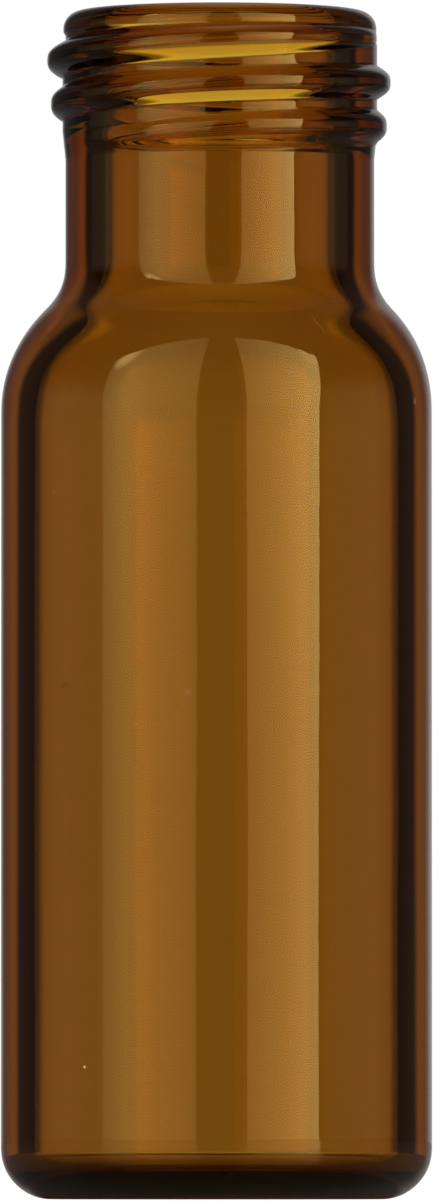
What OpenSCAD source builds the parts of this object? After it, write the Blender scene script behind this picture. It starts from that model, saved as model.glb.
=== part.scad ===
// Threaded sample vial, formed in one piece from amber glass tube.
// It stands upright along +Z on the flat ring round its dished base, and
// the origin is the centre of that ring. All sizes are in millimetres.

/* [Body] */
// Outside diameter of the body
body_d = 11.6; // [11:0.1:13]
// Height from the standing ring to the top of the rim
height = 32; // [30.5:0.25:38]
// Thickness of the body's wall
wall = 0.9; // [0.7:0.05:1.3]
// Rounding between the body's side and its base
base_r = 1.35; // [0.9:0.05:2]
// Width of the flat ring that the vial stands on
ring_w = 0.55; // [0.3:0.05:1]
// Rise of the shallow dish inside that ring
dish_h = 0.15; // [0.05:0.01:0.3]
// Height of the inside floor above the standing ring
floor_z = 0.85; // [0.6:0.05:1.5]
// Rounding between the inside floor and the wall
floor_r = 0.6; // [0.3:0.05:1]

/* [Shoulder] */
// Height at which the outside starts to curve in
shoulder_z = 21.25; // [16:0.25:22]
// Radius of the round outside of the shoulder
shoulder_r = 3.8; // [3.2:0.1:4.4]
// Radius of the hollow outside curve that leads on to the neck
neck_curve_r = 1.55; // [1.1:0.05:2.2]
// How much lower the inside starts to curve in
inside_drop = 0; // [0:0.05:1]
// Radius of the inside of the shoulder
inside_r = 2.9; // [2:0.1:3.4]
// Radius of the inside curve that leads on to the bore
bore_curve_r = 2.6; // [1.8:0.05:3.2]

/* [Neck and rim] */
// Outside diameter of the plain neck
neck_d = 8.32; // [8:0.02:8.8]
// Diameter of the bore through neck and mouth
bore_d = 6.2; // [5:0.05:6.5]
// How far the rim stands out from the neck
rim_step = 0.06; // [0.04:0.01:0.15]
// Height of the rim above the groove under it
rim_h = 0.56; // [0.52:0.02:0.7]
// Rounding of the rim's outer edge
rim_r = 0.48; // [0.3:0.02:0.5]
// Rounding of the rim's inner edge, at the mouth
mouth_r = 0.25; // [0.1:0.05:0.4]
// Height of the groove between the rim and the thread's root
groove_h = 0.36; // [0.3:0.02:0.5]

/* [Thread] */
// Rise of the right-hand thread in one turn
pitch = 1.18; // [1.17:0.01:1.4]
// Turns from one end of the ridge to the other
turns = 2.575; // [1.5:0.025:3]
// How far the ridge's upper end lies below the top of the rim
thread_drop = 0.66; // [0.58:0.01:0.8]
// Direction of the ridge's upper end, in degrees from +X
start_angle = 25; // [0:5:355]
// Angle in which each end of the ridge fades out
fade_angle = 140; // [90:5:180]
// Width of the ridge at its foot
ridge_w = 1.12; // [0.8:0.02:1.16]
// Height of the ridge above the thread's root, at its upper end
ridge_h = 0.47; // [0.35:0.01:0.6]
// How much the ridge loses in height from turn to turn
ridge_fall = 0.1; // [0:0.01:0.12]
// How far the thread's root stands out from the plain neck
root_step = 0.08; // [0.06:0.01:0.2]
// Length of the cone from the thread's root down to the plain neck
root_taper = 0.75; // [0.3:0.05:2]

/* [Hidden] */

// Smoothness of the turned faces, and of the ridge along and across
$fn = 96;
ridge_steps = 60;
ridge_points = 10;
// Angle by which the ridge stops short of fading out, under the neck's surface
tip_angle = 10;
// Depth of the ridge's foot below the neck's surface, and of its buried keel
foot_sink = 0.03;
keel_sink = 0.3;
// Height of the small cones at the groove's edges
groove_cone = 0.06;
// Extra reach of the cutting shape above the rim
over = 1;

body_r = body_d / 2;
inner_r = body_r - wall;
neck_r = neck_d / 2;
bore_r = bore_d / 2;
rim_out_r = neck_r + rim_step;
root_r = neck_r + root_step;
ring_in_r = body_r - base_r - ring_w;
dish_r = (ring_in_r * ring_in_r + dish_h * dish_h) / (2 * dish_h);

// Both shoulders are two arcs that meet where their common tangent leans by this angle
function lean(drop, r1, r2) = acos(1 - drop / (r1 + r2));
out_lean = lean(body_r - neck_r, shoulder_r, neck_curve_r);
neck_z = shoulder_z + (shoulder_r + neck_curve_r) * sin(out_lean);
inside_z = shoulder_z - inside_drop;
in_lean = lean(inner_r - bore_r, inside_r, bore_curve_r);
bore_z = inside_z + (inside_r + bore_curve_r) * sin(in_lean);

// Heights of the ridge's two ends, and of the rim, groove and root
ridge_top_z = height - thread_drop;
ridge_end_z = ridge_top_z - pitch * turns;
rim_z = height - rim_h;
root_top_z = rim_z - groove_h;
root_end_z = ridge_end_z + pitch * fade_angle / 360;

// A point on an arc, from its centre, radius and angle
function arc_point(x, z, r, a) = [x + r * cos(a), z + r * sin(a)];

module disc_at(x, z, r) {
    translate([x, z]) circle(r);
}

// Half section of the outside. Chords stand in for the arcs, which discs then add or cut.
module outside() {
    difference() {
        union() {
            polygon([
                [0, 0],
                [body_r - base_r, 0],
                [body_r, base_r],
                [body_r, shoulder_z],
                arc_point(body_r - shoulder_r, shoulder_z, shoulder_r, out_lean),
                [neck_r, neck_z],
                [neck_r, root_end_z - root_taper],
                [root_r, root_end_z],
                [root_r, root_top_z],
                [neck_r, root_top_z + groove_cone],
                [neck_r, rim_z - groove_cone],
                [rim_out_r, rim_z],
                [rim_out_r, height - rim_r],
                [rim_out_r - rim_r, height],
                [0, height]
            ]);
            disc_at(body_r - base_r, base_r, base_r);
            intersection() {
                disc_at(body_r - shoulder_r, shoulder_z, shoulder_r);
                square([body_r, height]);
            }
            disc_at(rim_out_r - rim_r, height - rim_r, rim_r);
        }
        disc_at(neck_r + neck_curve_r, neck_z, neck_curve_r);
    }
}

// Half section of the space inside, open at the mouth
module inside() {
    difference() {
        union() {
            polygon([
                [0, floor_z],
                [inner_r - floor_r, floor_z],
                [inner_r, floor_z + floor_r],
                [inner_r, inside_z],
                arc_point(inner_r - inside_r, inside_z, inside_r, in_lean),
                [bore_r, bore_z],
                [bore_r, height - mouth_r],
                [bore_r + mouth_r, height],
                [bore_r + mouth_r, height + over],
                [0, height + over]
            ]);
            disc_at(inner_r - floor_r, floor_z + floor_r, floor_r);
            intersection() {
                disc_at(inner_r - inside_r, inside_z, inside_r);
                square([inner_r, height]);
            }
        }
        disc_at(bore_r + bore_curve_r, bore_z, bore_curve_r);
        disc_at(bore_r + mouth_r, height - mouth_r, mouth_r);
    }
}

// Share of the ridge's full height: 1 past the fade, and almost 0 at its buried ends
function ease(t) = let (c = max(0, min(1, t))) c * c * (3 - 2 * c);
function fade(turn_back) =
    ease((turn_back + tip_angle) / fade_angle)
    * ease((360 * turns - turn_back + tip_angle) / fade_angle);

// Outline of the ridge's section: a round back with hollow flanks, and a buried keel.
// turn_back is the angle travelled from the upper end, and each point is [radius, height].
// Where the ridge fades it is lower, and down to half as wide.
function ridge_section(turn_back) =
    let (
        k = fade(turn_back),
        foot_r = neck_r - foot_sink,
        crest_r = root_r + ridge_h - ridge_fall * turn_back / 360,
        half_w = ridge_w * (1 + k) / 4,
        z = ridge_top_z - pitch * turn_back / 360
    )
    concat(
        [for (i = [0 : ridge_points])
            let (s = 2 * i / ridge_points - 1)
            [foot_r + k * (crest_r - foot_r) * pow(1 - pow(abs(s), 3), 2), z + s * half_w]],
        [[foot_r - keel_sink, z]]
    );

module thread() {
    count = round(ridge_steps * turns);
    ring = ridge_points + 2;
    points = [for (j = [0 : count])
        let (turn_back = 360 * turns * j / count, a = start_angle - turn_back)
        for (p = ridge_section(turn_back)) [p[0] * cos(a), p[0] * sin(a), p[1]]];
    sides = [for (j = [0 : count - 1], i = [0 : ring - 1])
        let (
            n = (i + 1) % ring,
            a = j * ring + i,
            b = j * ring + n,
            c = a + ring,
            d = b + ring
        )
        each [[a, d, b], [a, c, d]]];
    first = [for (i = [0 : ring - 1]) i];
    last = [for (i = [ring - 1 : -1 : 0]) count * ring + i];
    polyhedron(points, concat(sides, [first, last]));
}

module vial() {
    color([0.55, 0.31, 0.08, 0.85])
    difference() {
        union() {
            rotate_extrude() outside();
            thread();
        }
        rotate_extrude() inside();
        translate([0, 0, dish_h - dish_r]) sphere(dish_r);
    }
}

vial();
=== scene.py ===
import math

import bpy
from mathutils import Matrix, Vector


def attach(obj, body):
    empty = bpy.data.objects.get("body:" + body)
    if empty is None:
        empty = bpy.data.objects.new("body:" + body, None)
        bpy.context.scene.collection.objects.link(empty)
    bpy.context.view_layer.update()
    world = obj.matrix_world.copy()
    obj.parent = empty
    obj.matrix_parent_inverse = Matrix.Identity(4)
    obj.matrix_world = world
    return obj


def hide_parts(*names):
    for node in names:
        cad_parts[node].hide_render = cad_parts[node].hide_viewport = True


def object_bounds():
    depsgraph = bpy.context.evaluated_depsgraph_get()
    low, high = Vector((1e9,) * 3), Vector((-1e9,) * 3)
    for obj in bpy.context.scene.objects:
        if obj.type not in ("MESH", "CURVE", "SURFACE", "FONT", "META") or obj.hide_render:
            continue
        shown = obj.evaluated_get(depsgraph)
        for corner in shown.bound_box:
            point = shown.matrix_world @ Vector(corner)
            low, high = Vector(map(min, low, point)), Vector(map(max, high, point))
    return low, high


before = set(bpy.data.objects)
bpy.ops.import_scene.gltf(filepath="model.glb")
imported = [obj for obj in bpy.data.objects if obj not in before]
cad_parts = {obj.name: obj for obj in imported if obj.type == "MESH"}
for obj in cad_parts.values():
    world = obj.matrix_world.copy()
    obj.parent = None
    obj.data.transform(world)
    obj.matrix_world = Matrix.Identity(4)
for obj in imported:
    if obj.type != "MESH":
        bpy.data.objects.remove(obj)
cad_low, cad_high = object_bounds()
bpy.ops.object.select_all(action='DESELECT')
mm = 0.001


# The vial's glass: drawn amber tube, closed and flattened at the base, drawn in
# at the shoulder and pressed to a rim. Its half section is drawn as one line,
# up outside and down inside, and spun about the axis into one closed skin.
body_r = cad_high.x
rim_top_z = cad_high.z
wall = 0.9 * mm
base_bend_r = 1.35 * mm
ring_w = 0.55 * mm
dish_h = 0.15 * mm
floor_z = 0.92 * mm
floor_bend_r = 0.4 * mm
shoulder_z = 21.25 * mm
shoulder_r = 3.8 * mm
neck_bend_r = 1.55 * mm
inside_shoulder_z = 21.25 * mm
inside_shoulder_r = 2.7 * mm
bore_bend_r = 2.8 * mm
neck_r = 4.16 * mm
bore_r = 3.1 * mm
rim_r = 4.22 * mm
rim_h = 0.56 * mm
rim_edge_r = 0.48 * mm
mouth_edge_r = 0.25 * mm
groove_h = 0.36 * mm
groove_cone = 0.1 * mm
root_r = 4.24 * mm
root_low_z = 28.0 * mm
root_taper = 0.75 * mm
thread_low_z = 27.4 * mm

# How far the straight glass beside a bend softens with it, and how much each bend is softened.
soft_run = 0.8 * mm
base_softening = 4
outside_softening = 5
inside_softening = 28

edge_loop = 0.015 * mm
merge_gap = 0.002 * mm
round_steps = 240
pen = Vector((0, 0, dish_h))


def start_line():
    bpy.ops.mesh.primitive_plane_add(size=mm, enter_editmode=True)
    bpy.ops.mesh.merge(type='CENTER')
    bpy.ops.transform.translate(value=pen)


def draw_line(x, z, steps=1, ends=edge_loop):
    """Draws on straight. In steps, the line has a short step at both ends, to keep its shading straight."""
    global pen
    way = Vector((x, 0, z)) - pen
    short = ends * way.normalized() if steps > 1 else Vector()
    for step in [short] + [(way - 2 * short) / steps] * steps + [short]:
        if step.length > 0:
            bpy.ops.mesh.extrude_region_move(TRANSFORM_OT_translate={"value": step})
    pen = Vector((x, 0, z))


def draw_arc(centre_x, centre_z, angle, steps):
    """Carries the line on round a centre. Seen from the front, a positive angle turns it left."""
    global pen
    centre = Vector((centre_x, 0, centre_z))
    bpy.ops.mesh.spin(steps=steps, angle=angle, center=centre, axis=(0, 1, 0))
    arm = pen - centre
    pen = centre + Vector((
        arm.x * math.cos(angle) - arm.z * math.sin(angle), 0,
        arm.x * math.sin(angle) + arm.z * math.cos(angle)))


def pick(wanted):
    """Selects those vertices of the line that the test wants."""
    bpy.ops.mesh.select_all(action='DESELECT')
    bpy.ops.object.mode_set(mode='OBJECT')
    for vertex in bpy.context.object.data.vertices:
        vertex.select = wanted(vertex)
    bpy.ops.object.mode_set(mode='EDIT')


def soften(first, low_z, high_z, repeat):
    """From the first vertex on, runs the arcs between two heights into each other, as soft glass does."""
    pick(lambda vertex: vertex.index >= first and low_z < vertex.co.z < high_z)
    bpy.ops.mesh.vertices_smooth(factor=0.5, repeat=repeat)
    pick(lambda vertex: (vertex.co - pen).length < edge_loop / 2)


def shoulder_lean(drop, round_r, hollow_r):
    return math.acos(1 - drop / (round_r + hollow_r))


inner_r = body_r - wall
ring_in_r = body_r - base_bend_r - ring_w
dish_r = (ring_in_r ** 2 + dish_h ** 2) / (2 * dish_h)
out_lean = shoulder_lean(body_r - neck_r, shoulder_r, neck_bend_r)
neck_z = shoulder_z + (shoulder_r + neck_bend_r) * math.sin(out_lean)
in_lean = shoulder_lean(inner_r - bore_r, inside_shoulder_r, bore_bend_r)
bore_z = inside_shoulder_z + (inside_shoulder_r + bore_bend_r) * math.sin(in_lean)
rim_z = rim_top_z - rim_h
root_top_z = rim_z - groove_h

# The base: the dish, the standing ring and the bend up to the body.
start_line()
draw_arc(0, dish_h - dish_r, -math.asin(ring_in_r / dish_r), steps=16)
draw_line(ring_in_r + edge_loop, 0)
draw_line(body_r - base_bend_r, 0, steps=4)
draw_arc(body_r - base_bend_r, base_bend_r, math.pi / 2, steps=24)
draw_line(body_r, base_bend_r + soft_run, steps=8, ends=0)
soften(0, dish_h, base_bend_r + soft_run / 2, base_softening)

# The body and the shoulder.
draw_line(body_r, shoulder_z - soft_run, steps=10)
draw_line(body_r, shoulder_z, steps=8, ends=0)
draw_arc(body_r - shoulder_r, shoulder_z, out_lean, steps=30)
draw_arc(neck_r + neck_bend_r, neck_z, -out_lean, steps=12)
draw_line(neck_r, neck_z + soft_run, steps=8, ends=0)
soften(0, shoulder_z - soft_run, neck_z + soft_run / 2, outside_softening)

# The neck, the thread's root, the groove and the rim.
draw_line(neck_r, thread_low_z, steps=4)
draw_line(neck_r, root_low_z, steps=12)
draw_line(root_r, root_low_z + root_taper, steps=8)
draw_line(root_r, root_top_z, steps=60)
draw_line(neck_r, root_top_z + groove_cone, steps=4)
draw_line(neck_r, rim_z - groove_cone, steps=4)
draw_line(rim_r, rim_z, steps=4)
draw_line(rim_r, rim_top_z - rim_edge_r, steps=3)
draw_arc(rim_r - rim_edge_r, rim_top_z - rim_edge_r, math.pi / 2, steps=16)
draw_line(bore_r + mouth_edge_r, rim_top_z, steps=5)
draw_arc(bore_r + mouth_edge_r, rim_top_z - mouth_edge_r, math.pi / 2, steps=12)

# The inside: the bore, the inside of the shoulder, the wall and the floor.
draw_line(bore_r, bore_z + soft_run, steps=8)
bpy.context.object.update_from_editmode()
inside_start = len(bpy.context.object.data.vertices)
draw_line(bore_r, bore_z, steps=8, ends=0)
draw_arc(bore_r + bore_bend_r, bore_z, in_lean, steps=23)
draw_arc(inner_r - inside_shoulder_r, inside_shoulder_z, -in_lean, steps=22)
draw_line(inner_r, inside_shoulder_z - soft_run, steps=8, ends=0)
soften(inside_start, inside_shoulder_z - soft_run / 2, bore_z + soft_run, inside_softening)
draw_line(inner_r, floor_z + floor_bend_r, steps=12)
draw_arc(inner_r - floor_bend_r, floor_z + floor_bend_r, -math.pi / 2, steps=20)
draw_line(0, floor_z, steps=12)

bpy.ops.mesh.select_all(action='SELECT')
bpy.ops.mesh.spin(steps=round_steps, angle=2 * math.pi, center=(0, 0, 0), axis=(0, 0, 1))
bpy.ops.mesh.select_all(action='SELECT')
bpy.ops.mesh.remove_doubles(threshold=merge_gap)
bpy.ops.mesh.normals_make_consistent(inside=False)
bpy.ops.object.mode_set(mode='OBJECT')
vial_glass = bpy.context.object
vial_glass.name = "vial_glass"
bpy.ops.object.shade_smooth()


# The thread. It is one rounded ridge that rollers press out of the soft neck,
# right-handed, a little over two and a half turns, fading out at both ends.
# The neck's skin is raised along the ridge's helix.
pitch = 1.18 * mm
turns = 2.575
thread_drop = 0.66 * mm
ridge_top_z = rim_top_z - thread_drop
start_angle = 25
fade_angle = 140
tip_angle = 10
ridge_w = 1.14 * mm
ridge_h = 0.47 * mm
ridge_fall = 0.1 * mm
foot_sink = 0.03 * mm
foot_r = neck_r - foot_sink
skin_gap = 0.01 * mm
blend_r = 0.02 * mm


def ease(t):
    t = max(0, min(1, t))
    return t * t * (3 - 2 * t)


def ridge_reach(azimuth, z):
    """Radius of the neck's skin in that direction and at that height, the ridge's turns taken one by one."""
    reach = -1
    turn_back = (start_angle - azimuth) % 360
    while turn_back <= 360 * turns + tip_angle:
        share = ease((turn_back + tip_angle) / fade_angle)
        share *= ease((360 * turns - turn_back + tip_angle) / fade_angle)
        crest_r = root_r + ridge_h - ridge_fall * turn_back / 360
        half_w = ridge_w * (1 + share) / 4
        across = abs(z - ridge_top_z + pitch * turn_back / 360) / half_w
        if across < 1:
            reach = max(reach, foot_r + share * (crest_r - foot_r) * (1 - across ** 3) ** 2)
        turn_back += 360
    return reach


for vertex in vial_glass.data.vertices:
    x, y, z = vertex.co
    r = math.hypot(x, y)
    if z > thread_low_z and r > neck_r - skin_gap:
        reach = ridge_reach(math.degrees(math.atan2(y, x)), z)
        over = max(0, blend_r - abs(reach - r)) / blend_r
        new_r = max(r, reach) + blend_r * over * over / 4
        vertex.co.x *= new_r / r
        vertex.co.y *= new_r / r

# The hot neck set a hair to one side of the body's axis.
neck_runout = 0.09 * mm

for vertex in vial_glass.data.vertices:
    rise = (vertex.co.z - shoulder_z) / (neck_z - shoulder_z)
    vertex.co.x += neck_runout * ease(rise)


def calc(tree, operation, first, second):
    """A Math node: each of its two values is a number or another node's output."""
    node = tree.nodes.new("ShaderNodeMath")
    node.operation = operation
    for socket, value in zip(node.inputs, (first, second)):
        if isinstance(value, (int, float)):
            socket.default_value = value
        else:
            tree.links.new(value, socket)
    return node.outputs[0]


def fade(tree, value, start, end, first, last):
    """Goes smoothly from first to last as value goes from start to end."""
    node = tree.nodes.new("ShaderNodeMapRange")
    node.interpolation_type = 'SMOOTHSTEP'
    tree.links.new(value, node.inputs["Value"])
    for name, number in (("From Min", start), ("From Max", end), ("To Min", first), ("To Max", last)):
        if isinstance(number, (int, float)):
            node.inputs[name].default_value = number
        else:
            tree.links.new(number, node.inputs[name])
    return node.outputs[0]


# The glass is tinted through its thickness, and lamps shine through it with a soft tint.
glass_ior = 1.5
mirror_tint = (0.92, 0.64, 0.18, 1)
amber = (0.82, 0.635, 0.14, 1)
amber_density = 3000
lamp_through = (0.8, 0.64, 0.4, 1)
amber_glass = bpy.data.materials.new("amber_glass")
amber_glass.use_nodes = True
tree = amber_glass.node_tree
nodes = tree.nodes
links = tree.links
glass = nodes["Principled BSDF"]
glass.inputs["Base Color"].default_value = (1, 1, 1, 1)
glass.inputs["IOR"].default_value = glass_ior
glass.inputs["Transmission Weight"].default_value = 1
glass.inputs["Specular Tint"].default_value = mirror_tint
tint = nodes.new("ShaderNodeVolumeAbsorption")
tint.inputs["Color"].default_value = amber
tint.inputs["Density"].default_value = amber_density
links.new(tint.outputs["Volume"], nodes["Material Output"].inputs["Volume"])
shadow_rays = nodes.new("ShaderNodeLightPath")
clear = nodes.new("ShaderNodeBsdfTransparent")
clear.inputs["Color"].default_value = lamp_through
shown = nodes.new("ShaderNodeMixShader")
links.new(shadow_rays.outputs["Is Shadow Ray"], shown.inputs["Fac"])
links.new(glass.outputs["BSDF"], shown.inputs[1])
links.new(clear.outputs["BSDF"], shown.inputs[2])
links.new(shown.outputs["Shader"], nodes["Material Output"].inputs["Surface"])

# The drawn tube's skin is a little wavy along its length, and not quite evenly polished.
wave_stretch = (1, 1, 0.25)
wave_scale = 350
wave_height = 0.012 * mm
polish_scale = 2500
dull_patch = (0.5, 0.7)
dull_rough = 0.03
place = nodes.new("ShaderNodeTexCoord")
stretch = nodes.new("ShaderNodeVectorMath")
stretch.operation = 'MULTIPLY'
stretch.inputs[1].default_value = wave_stretch
links.new(place.outputs["Object"], stretch.inputs[0])
wave = nodes.new("ShaderNodeTexNoise")
wave.inputs["Scale"].default_value = wave_scale
wave.inputs["Detail"].default_value = 1
links.new(stretch.outputs["Vector"], wave.inputs["Vector"])
grain = nodes.new("ShaderNodeTexNoise")
grain.inputs["Scale"].default_value = polish_scale
grain.inputs["Detail"].default_value = 0
links.new(place.outputs["Object"], grain.inputs["Vector"])


def mark(middle, size, lean=0):
    """1 inside a small oval on the skin, and 0 outside. Middle and size are in millimetres, and
    lean tips the oval about Y, in degrees."""
    oval = nodes.new("ShaderNodeMapping")
    oval.vector_type = 'TEXTURE'
    oval.inputs["Location"].default_value = Vector(middle) * mm
    oval.inputs["Rotation"].default_value = (0, math.radians(lean), 0)
    oval.inputs["Scale"].default_value = Vector(size) * mm
    links.new(place.outputs["Object"], oval.inputs["Vector"])
    off = nodes.new("ShaderNodeVectorMath")
    off.operation = 'LENGTH'
    links.new(oval.outputs["Vector"], off.inputs[0])
    return fade(tree, off.outputs["Value"], 1, 0.4, 0, 1)


# Small marks: a hair scratch on the shoulder, a bright speck, a dark dot and three faint pale dots.
# The scratch, the speck and the pale dots are real marks, but their paleness is a painted highlight: a faint
# glow.
scratch = mark((2.714, -4.39, 23.35), (0.03, 0.7, 0.42), -38.1)
speck = mark((-3.51, -4.6, 3.53), (0.045, 0.1, 0.055))
dark_dot = mark((-4.04, -4.14, 13.71), (0.16, 0.16, 0.1))
pale_dot = mark((-0.764, -5.75, 13.49), (0.13, 0.13, 0.11))
side_dot = mark((-4.35, -3.83, 18.87), (0.06, 0.08, 0.07))
shoulder_dot = mark((5.3, -2.28, 21.38), (0.08, 0.13, 0.13))
pit_depth = 0.008 * mm
pit_rough = 0.2
painted_glow_marks = ((speck, 0.7), (scratch, 0.045), (pale_dot, 0.06), (side_dot, 0.07), (shoulder_dot, 0.1))
painted_glow_colour = (0.9, 0.45, 0.25)
rough = fade(tree, grain.outputs[0], *dull_patch, 0, dull_rough)
rough = calc(tree, 'ADD', rough, calc(tree, 'MULTIPLY', dark_dot, pit_rough))
links.new(rough, glass.inputs["Roughness"])
waves = calc(tree, 'MULTIPLY', wave.outputs[0], wave_height)
waves = calc(tree, 'SUBTRACT', waves, calc(tree, 'MULTIPLY', dark_dot, pit_depth))
bump = nodes.new("ShaderNodeBump")
bump.inputs["Distance"].default_value = 1
links.new(waves, bump.inputs["Height"])
links.new(bump.outputs["Normal"], glass.inputs["Normal"])
# The pale marks' light is painted: they glow faintly through the glass's Emission Color, as painted
# highlights.
painted_glow = 0
for oval, level in painted_glow_marks:
    painted_glow = calc(tree, 'ADD', calc(tree, 'MULTIPLY', oval, level), painted_glow)
lit = nodes.new("ShaderNodeVectorMath")
lit.operation = 'SCALE'
lit.inputs[0].default_value = painted_glow_colour
links.new(painted_glow, lit.inputs["Scale"])
links.new(lit.outputs[0], glass.inputs["Emission Color"])
glass.inputs["Emission Strength"].default_value = 1
vial_glass.data.materials.append(amber_glass)
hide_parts("vial")
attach(vial_glass, "root")


# The floor: a plain white table top. Seen straight it is white, and it keeps the vial's soft shadow.
# Seen through the glass it is white too, except round the vial's foot, where a painted shadow darkens it.
# Its gloss shows only where the glass's outer skin mirrors it.
def seen_through(tree, path):
    """1 for a ray that has only passed through the glass, and 0 once it is mirrored."""
    mirrored = calc(tree, 'MINIMUM', path.outputs["Glossy Depth"], 1)
    return calc(tree, 'MULTIPLY', path.outputs["Is Transmission Ray"], calc(tree, 'SUBTRACT', 1, mirrored))


def mirrored_once(tree, path):
    """1 for a ray that the glass's outer skin mirrors, and 0 once it has been inside the glass."""
    inside = calc(tree, 'MINIMUM', path.outputs["Transmission Depth"], 1)
    mirrored = calc(tree, 'MINIMUM', path.outputs["Glossy Depth"], 1)
    return calc(tree, 'MULTIPLY', mirrored, calc(tree, 'SUBTRACT', 1, inside))


table_size = 4
table_colour = 0.3
table_lift = 0.9
table_lift_run = (0.05, 0.3)
table_gloss = 0.5
table_rough = 0.2
through_level = 0.52
painted_foot_shadow = (6.8 * mm, 9.2 * mm)
bpy.ops.mesh.primitive_plane_add(size=table_size)
table_top = bpy.context.object
table_top.name = "table_top"
table_white = bpy.data.materials.new("table_white")
table_white.use_nodes = True
tree = table_white.node_tree
paint = tree.nodes["Principled BSDF"]
paint.inputs["Base Color"].default_value = (table_colour, table_colour, table_colour, 1)
paint.inputs["Roughness"].default_value = table_rough
paint.inputs["Emission Color"].default_value = (1, 1, 1, 1)
path = tree.nodes.new("ShaderNodeLightPath")
place = tree.nodes.new("ShaderNodeTexCoord")
away = tree.nodes.new("ShaderNodeVectorMath")
away.operation = 'LENGTH'
tree.links.new(place.outputs["Object"], away.inputs[0])
# Seen through the glass, the table fades to dark round the vial's foot: a painted shadow.
through = fade(tree, away.outputs["Value"], *painted_foot_shadow, 0, through_level)
through = calc(tree, 'MULTIPLY', through, seen_through(tree, path))
lift = fade(tree, away.outputs["Value"], *table_lift_run, table_lift, 1)
straight = calc(tree, 'MULTIPLY', path.outputs["Is Camera Ray"], lift)
tree.links.new(calc(tree, 'ADD', straight, through), paint.inputs["Emission Strength"])
gloss = calc(tree, 'MULTIPLY', mirrored_once(tree, path), table_gloss)
tree.links.new(gloss, paint.inputs["Specular IOR Level"])
table_top.data.materials.append(table_white)


# The studio room: a white wall behind, black cards on both sides of it, grey
# side walls, a bright and slightly green lamp high up behind, and a dark
# ceiling. The glass's outer skin mirrors a dimmer wall.
world = bpy.data.worlds.new("white_room")
bpy.context.scene.world = world
world.use_nodes = True
tree = world.node_tree
back = tree.nodes["Background"]
place = tree.nodes.new("ShaderNodeTexCoord")
split = tree.nodes.new("ShaderNodeSeparateXYZ")
tree.links.new(place.outputs["Generated"], split.inputs[0])
turn = calc(tree, 'ARCTAN2', split.outputs["X"], split.outputs["Y"])
off_back = calc(tree, 'ABSOLUTE', turn, 0)
height = calc(tree, 'ARCSINE', split.outputs["Z"], 0)
path = tree.nodes.new("ShaderNodeLightPath")
off_skin = mirrored_once(tree, path)

wall_level = 0.5
wall_rise = (math.radians(5), math.radians(19))
wall_rim_level = 0.7
wall_edge = (math.radians(22), math.radians(32.5))
wall_foot = (math.radians(15), math.radians(24))
wall_gain = 2.67
lamp_edge = (math.radians(13), math.radians(21))
lamp_rim_gain = 0.7
lamp_tint = (0.835, 1, 0.55, 1)
wall_top = (math.radians(50), math.radians(58))
skin_shift = math.radians(5)
skin_rise = (math.radians(10), math.radians(28))
skin_edge_level = 0.45
skin_level = 0.075
card_level = 0.033
card_edge = (math.radians(66), math.radians(72))
side_level = 0.42
side_rise = (math.radians(74), math.radians(90))
side_dim_level = 0.2
side_top = (math.radians(6), math.radians(20))
side_edge = (math.radians(115), math.radians(125))
dark_level = 0.03

wall = fade(tree, off_back, *wall_rise, wall_level, wall_rim_level)
lamp = fade(tree, off_back, *lamp_edge, wall_gain, lamp_rim_gain)
wall = calc(tree, 'MULTIPLY', wall, fade(tree, height, *wall_foot, 1, lamp))
wall = calc(tree, 'MULTIPLY', wall, fade(tree, height, *wall_top, 1, 0))
off_shifted = calc(tree, 'ABSOLUTE', calc(tree, 'SUBTRACT', turn, skin_shift), 0)
skin = fade(tree, off_shifted, *skin_rise, skin_edge_level, skin_level)
side = fade(tree, off_back, *side_rise, side_dim_level, side_level)
side = fade(tree, height, *side_top, side, dark_level)
room = fade(tree, off_back, *wall_edge, wall, card_level)
room = fade(tree, off_skin, 0, 1, room, skin)
room = fade(tree, off_back, *card_edge, room, side)
room = fade(tree, off_back, *side_edge, room, dark_level)
sides_open = fade(tree, off_back, *side_rise, 0, 1)
whitened = calc(tree, 'MULTIPLY', seen_through(tree, path), sides_open)
whitened = calc(tree, 'MAXIMUM', whitened, path.outputs["Is Camera Ray"])
level = tree.nodes.new("ShaderNodeMix")
level.data_type = 'FLOAT'
tree.links.new(whitened, level.inputs[0])
tree.links.new(room, level.inputs[2])
level.inputs[3].default_value = 1
tree.links.new(level.outputs[0], back.inputs["Strength"])
tinted = calc(tree, 'MULTIPLY', path.outputs["Is Transmission Ray"], calc(tree, 'SUBTRACT', 1, whitened))
tinted = calc(tree, 'MULTIPLY', tinted, fade(tree, height, *wall_foot, 0, 1))
colour = tree.nodes.new("ShaderNodeMix")
colour.data_type = 'RGBA'
tree.links.new(tinted, colour.inputs[0])
colour.inputs[6].default_value = (1, 1, 1, 1)
colour.inputs[7].default_value = lamp_tint
tree.links.new(colour.outputs[2], back.inputs["Color"])


# Two tall soft boxes stand side by side in front of the vial, with the camera
# between them. They show in the glass as two long stripes, and light it.
box_y = -0.4
box_top = 0.6


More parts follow.
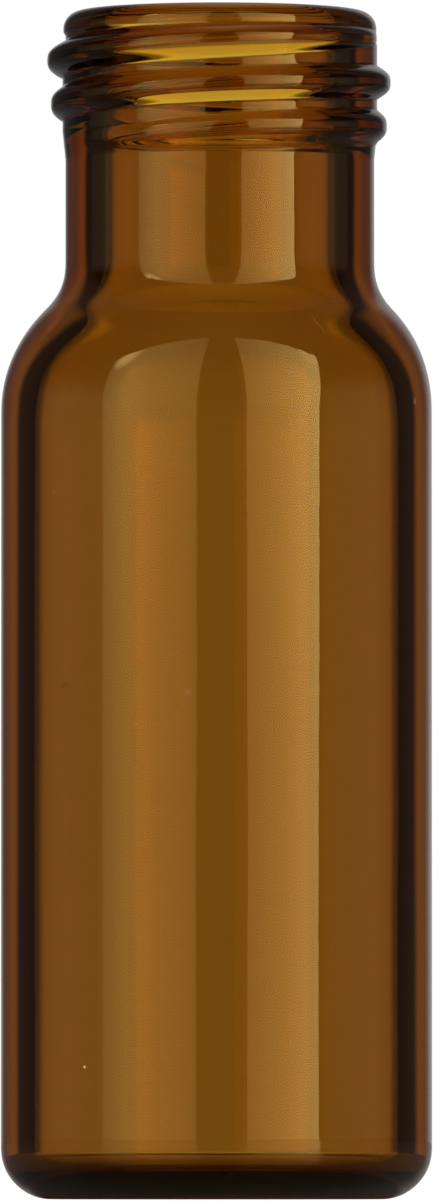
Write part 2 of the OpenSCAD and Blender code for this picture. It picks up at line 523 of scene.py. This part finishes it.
def soft_box(name, foot, head, stops, lamp):
    """An upright flat light. Foot and head are the places of its lower and upper corners along X.
    Its stops are pairs: a place along X, and the light's level there. The lamp is a brighter
    round patch: its middle, its radius and its level."""
    bpy.ops.mesh.primitive_plane_add(size=1, rotation=(math.pi / 2, 0, 0))
    bpy.ops.object.transform_apply()
    box = bpy.context.object
    box.name = name
    for vertex in box.data.vertices:
        corners, z = (head, box_top) if vertex.co.z > 0 else (foot, 0)
        vertex.co = (max(corners) if vertex.co.x > 0 else min(corners), box_y, z)
    face = bpy.data.materials.new(name + "_face")
    face.use_nodes = True
    tree = face.node_tree
    tree.nodes.remove(tree.nodes["Principled BSDF"])
    place = tree.nodes.new("ShaderNodeTexCoord")
    split = tree.nodes.new("ShaderNodeSeparateXYZ")
    tree.links.new(place.outputs["Object"], split.inputs[0])
    level = stops[0][1]
    for (start, first), (end, last) in zip(stops, stops[1:]):
        step = tree.nodes.new("ShaderNodeMapRange")
        tree.links.new(split.outputs["X"], step.inputs["Value"])
        step.inputs["From Min"].default_value = start
        step.inputs["From Max"].default_value = end
        step.inputs["To Max"].default_value = last - first
        level = calc(tree, 'ADD', step.outputs[0], level)
    level = calc(tree, 'MULTIPLY', level, fade(tree, split.outputs["Z"], *box_foot, 1, box_gain))
    level = calc(tree, 'MULTIPLY', level, fade(tree, split.outputs["Z"], *box_head, 1, box_loss))
    middle, radius, lamp_level = lamp
    off_lamp = tree.nodes.new("ShaderNodeVectorMath")
    off_lamp.operation = 'DISTANCE'
    tree.links.new(place.outputs["Object"], off_lamp.inputs[0])
    off_lamp.inputs[1].default_value = middle
    patch = fade(tree, off_lamp.outputs["Value"], radius / 3, radius, lamp_level, 0)
    level = calc(tree, 'ADD', level, patch)
    glow = tree.nodes.new("ShaderNodeEmission")
    tree.links.new(level, glow.inputs["Strength"])
    gap = tree.nodes.new("ShaderNodeBsdfTransparent")
    shown = tree.nodes.new("ShaderNodeMixShader")
    path = tree.nodes.new("ShaderNodeLightPath")
    tree.links.new(seen_through(tree, path), shown.inputs["Fac"])
    tree.links.new(glow.outputs[0], shown.inputs[1])
    tree.links.new(gap.outputs[0], shown.inputs[2])
    tree.links.new(shown.outputs[0], tree.nodes["Material Output"].inputs["Surface"])
    box.data.materials.append(face)
    box.visible_camera = False


box_foot = (0.02, 0.06)
box_gain = 1.35
box_head = (0.1, 0.6)
box_loss = 0.65
soft_box(
    "right_soft_box", foot=(0.118, 0.592), head=(0.092, 0.76),
    stops=[(0.13, 1.5), (0.55, 5.1)], lamp=((0.66, box_y, 0.52), 0.16, 2))
soft_box(
    "left_soft_box", foot=(-0.79, -0.078), head=(-0.8, -0.045),
    stops=[(-0.79, 0.95), (-0.46, 2.2), (-0.075, 1.1)], lamp=((-0.62, box_y, 0.55), 0.18, 4.5))


# The camera: a long lens near the table, level with the vial's base.
camera = bpy.data.cameras.new("camera")
camera.lens = 523
camera.sensor_width = 36
camera.clip_start = 0.01
camera.clip_end = 20
eye = bpy.data.objects.new("camera", camera)
bpy.context.scene.collection.objects.link(eye)
eye.location = (0, -0.47, 0.0008)
aim = Vector((0, 0, 16.1 * mm))
eye.rotation_euler = (aim - eye.location).to_track_quat('-Z', 'Y').to_euler()
bpy.context.scene.camera = eye
bpy.context.scene.view_settings.view_transform = 'Standard'
